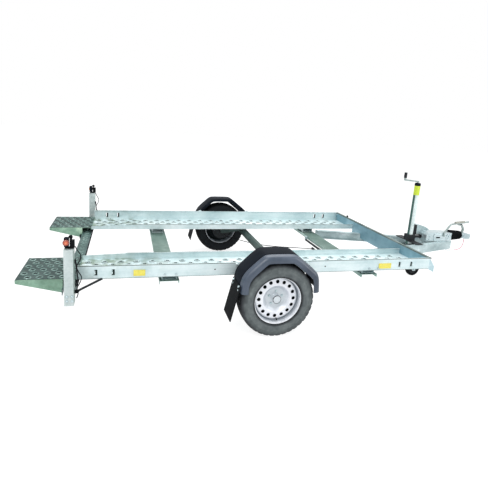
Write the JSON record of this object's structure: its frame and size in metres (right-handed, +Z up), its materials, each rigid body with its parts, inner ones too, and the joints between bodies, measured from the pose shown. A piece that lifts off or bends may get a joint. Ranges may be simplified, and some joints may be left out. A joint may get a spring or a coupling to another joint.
{
  "type": "car transporter trailer",
  "caption": "Single-axle braked car transporter trailer with two perforated wheel tracks, an A-frame drawbar with overrun coupling, and a jockey wheel.",
  "frame": {"origin": "centre of the bounding box on the ground", "axes": "+X forward to the coupling, +Y to the trailer's left, +Z up"},
  "size_m": [4.704, 2.3, 1.2],
  "materials": {
    "galvanised": "hot-dip galvanised, pale blue-grey",
    "dark_galvanised": "dull galvanised tread plate",
    "wheel_steel": "silver wheel paint",
    "black_plastic": "black moulded plastic",
    "black_rubber": "black rubber",
    "tyre": "dark grey rubber",
    "zinc_steel": "zinc plated",
    "black_steel": "black paint",
    "lamp_red": "red lens",
    "lamp_amber": "amber and red lens",
    "reflector_yellow": "yellow reflector",
    "cable_red": "red plastic sleeve",
    "cable_black": "black cable sheath"
  },
  "bodies": {
    "trailer": {"track_left": "galvanised", "track_right": "galvanised", "tail_wedge_left": "dark_galvanised", "tail_wedge_right": "dark_galvanised", "rear_cross_member": "galvanised", "front_cross_member": "galvanised", "drawbar_arms": "galvanised", "front_panel": "galvanised", "deck_brackets": "galvanised", "lamp_bar": "dark_galvanised", "lamp_posts": "galvanised", "tail_lamps": "lamp_red", "marker_feet": "black_rubber", "marker_lamps": "lamp_amber", "side_reflectors": "reflector_yellow", "axle_tube": "galvanised", "axle_seats": "galvanised", "swing_arms": "zinc_steel", "brake_backplates": "black_steel", "fender_left": "black_plastic", "fender_right": "black_plastic", "mud_flaps": "black_rubber", "overrun_body": "zinc_steel", "draw_tube": "zinc_steel", "gaiter": "black_rubber", "coupling_head": "zinc_steel", "coupling_handle": "zinc_steel", "handbrake_lever": "zinc_steel", "jockey_outer_tube": "galvanised", "jockey_clamp": "black_steel", "jockey_crank": "zinc_steel", "wheel_chock": "galvanised", "chock_holder": "black_steel", "brake_cables": "cable_black", "lamp_lead": "cable_black", "breakaway_cable": "cable_red"},
    "wheel_left": {"hub_left": "black_steel", "rim_left": "wheel_steel", "tyre_left": "tyre"},
    "wheel_right": {"hub_right": "black_steel", "rim_right": "wheel_steel", "tyre_right": "tyre"},
    "jockey_leg": {"jockey_inner_tube": "zinc_steel"},
    "jockey_yoke": {"jockey_fork": "zinc_steel"},
    "jockey_roller": {"jockey_wheel": "black_rubber"}
  },
  "joints": [
    {"name": "wheel_left_spin", "type": "hinge", "parent": "trailer", "child": "wheel_left", "pos_m": [-0.458, 1.04, 0.302], "axis": [0, 1, 0], "continuous": true},
    {"name": "wheel_right_spin", "type": "hinge", "parent": "trailer", "child": "wheel_right", "pos_m": [-0.458, -1.04, 0.302], "axis": [0, 1, 0], "continuous": true},
    {"name": "jockey_lift", "type": "slide", "parent": "trailer", "child": "jockey_leg", "axis": [0, 0, 1], "range_m": [0, 0.16]},
    {"name": "jockey_swivel", "type": "hinge", "parent": "jockey_leg", "child": "jockey_yoke", "pos_m": [1.532, 0, 0.196], "axis": [0, 0, 1], "continuous": true},
    {"name": "jockey_wheel_spin", "type": "hinge", "parent": "jockey_yoke", "child": "jockey_roller", "pos_m": [1.636, 0, 0.08], "axis": [0, 1, 0], "continuous": true}
  ]
}
